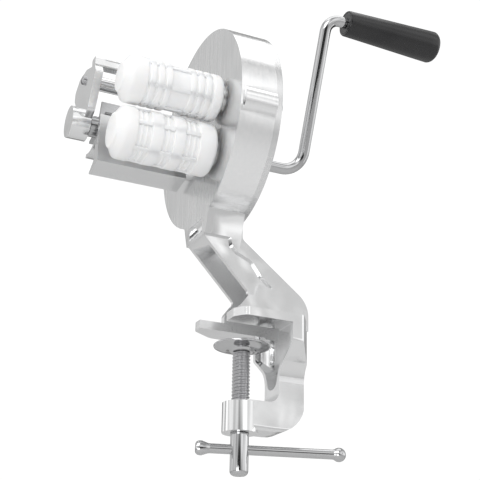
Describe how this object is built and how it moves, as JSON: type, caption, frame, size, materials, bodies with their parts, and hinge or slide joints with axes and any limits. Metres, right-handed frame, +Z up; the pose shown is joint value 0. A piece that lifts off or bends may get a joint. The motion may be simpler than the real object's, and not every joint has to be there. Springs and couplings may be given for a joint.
{
  "type": "pasta roller and cutter",
  "caption": "Hand-cranked pasta roller and cutter with a round gear housing, plastic feed rollers, forming trough, bent crank with grip and table clamp.",
  "frame": {"origin": "where the clamp screw's axis crosses the underside of the foot", "axes": "+X along the crank axis towards the crank's grip, +Y away from the rollers, +Z up"},
  "size_m": [0.243, 0.1282, 0.3174],
  "materials": {
    "cast_aluminium": "polished casting, satin machined faces",
    "plated_steel": "bright plating",
    "screw_steel": "turned",
    "gear_steel": "cut teeth, light grease",
    "bush_steel": "sintered, oil filled, dull",
    "roller_plastic": "milky white, soft sheen",
    "grip_plastic": "gloss black"
  },
  "bodies": {
    "machine_body": {"body_casting": "cast_aluminium", "gear_cover": "cast_aluminium", "cover_screws": "screw_steel", "front_bushes": "bush_steel", "cover_bush": "bush_steel", "end_bracket": "cast_aluminium", "bracket_screws": "screw_steel", "form_trough": "cast_aluminium", "trough_screws": "screw_steel", "idler_stud": "screw_steel", "idler_clip": "screw_steel"},
    "crank_set": {"crank_rod": "plated_steel", "drive_pinion": "gear_steel", "pinion_pin": "screw_steel", "cutter_rotor": "cast_aluminium", "cutter_pins": "screw_steel", "grip_screw": "screw_steel"},
    "hand_grip": {"grip": "grip_plastic"},
    "idler_set": {"idler_gear": "gear_steel"},
    "lower_roller_set": {"lower_roller": "roller_plastic", "lower_shaft": "screw_steel", "lower_gear": "gear_steel"},
    "upper_roller_set": {"upper_roller": "roller_plastic", "upper_shaft": "screw_steel", "upper_gear": "gear_steel"},
    "pad": {"pressure_disc": "plated_steel"},
    "screw": {"clamp_screw": "screw_steel"},
    "bar": {"cross_bar": "plated_steel"}
  },
  "joints": [
    {"name": "crank_turn", "type": "hinge", "parent": "machine_body", "child": "crank_set", "pos_m": [-0.0312, 0.03125, 0.1248], "axis": [1, 0, 0], "continuous": true},
    {"name": "grip_spin", "type": "hinge", "parent": "crank_set", "child": "hand_grip", "pos_m": [0.0678, -0.00801, 0.22197], "axis": [1, 0, 0], "continuous": true},
    {"name": "idler_turn", "type": "hinge", "parent": "machine_body", "child": "idler_set", "pos_m": [-0.0312, -0.00198, 0.1307], "axis": [1, 0, 0], "continuous": true},
    {"name": "lower_roller_turn", "type": "hinge", "parent": "machine_body", "child": "lower_roller_set", "pos_m": [-0.0312, -0.021, 0.0976], "axis": [1, 0, 0], "continuous": true},
    {"name": "upper_roller_turn", "type": "hinge", "parent": "machine_body", "child": "upper_roller_set", "pos_m": [-0.0312, -0.02993, 0.12755], "axis": [1, 0, 0], "continuous": true},
    {"name": "pad_travel", "type": "slide", "parent": "machine_body", "child": "pad", "axis": [0, 0, 1], "range_m": [-0.028, 0.0045]},
    {"name": "screw_turn", "type": "hinge", "parent": "pad", "child": "screw", "pos_m": [0, 0, -0.04], "axis": [0, 0, 1], "range_deg": [-5042, 812]},
    {"name": "bar_slide", "type": "slide", "parent": "screw", "child": "bar", "axis": [0.9622, -0.2723, 0], "range_m": [-0.047, 0.011]}
  ],
  "couplings": [
    {"joint": "idler_turn", "follows": "crank_turn", "ratio": -0.5},
    {"joint": "upper_roller_turn", "follows": "crank_turn", "ratio": 0.4},
    {"joint": "lower_roller_turn", "follows": "crank_turn", "ratio": -0.4},
    {"joint": "screw_turn", "follows": "pad_travel", "rad_per_m": 3141.6}
  ]
}
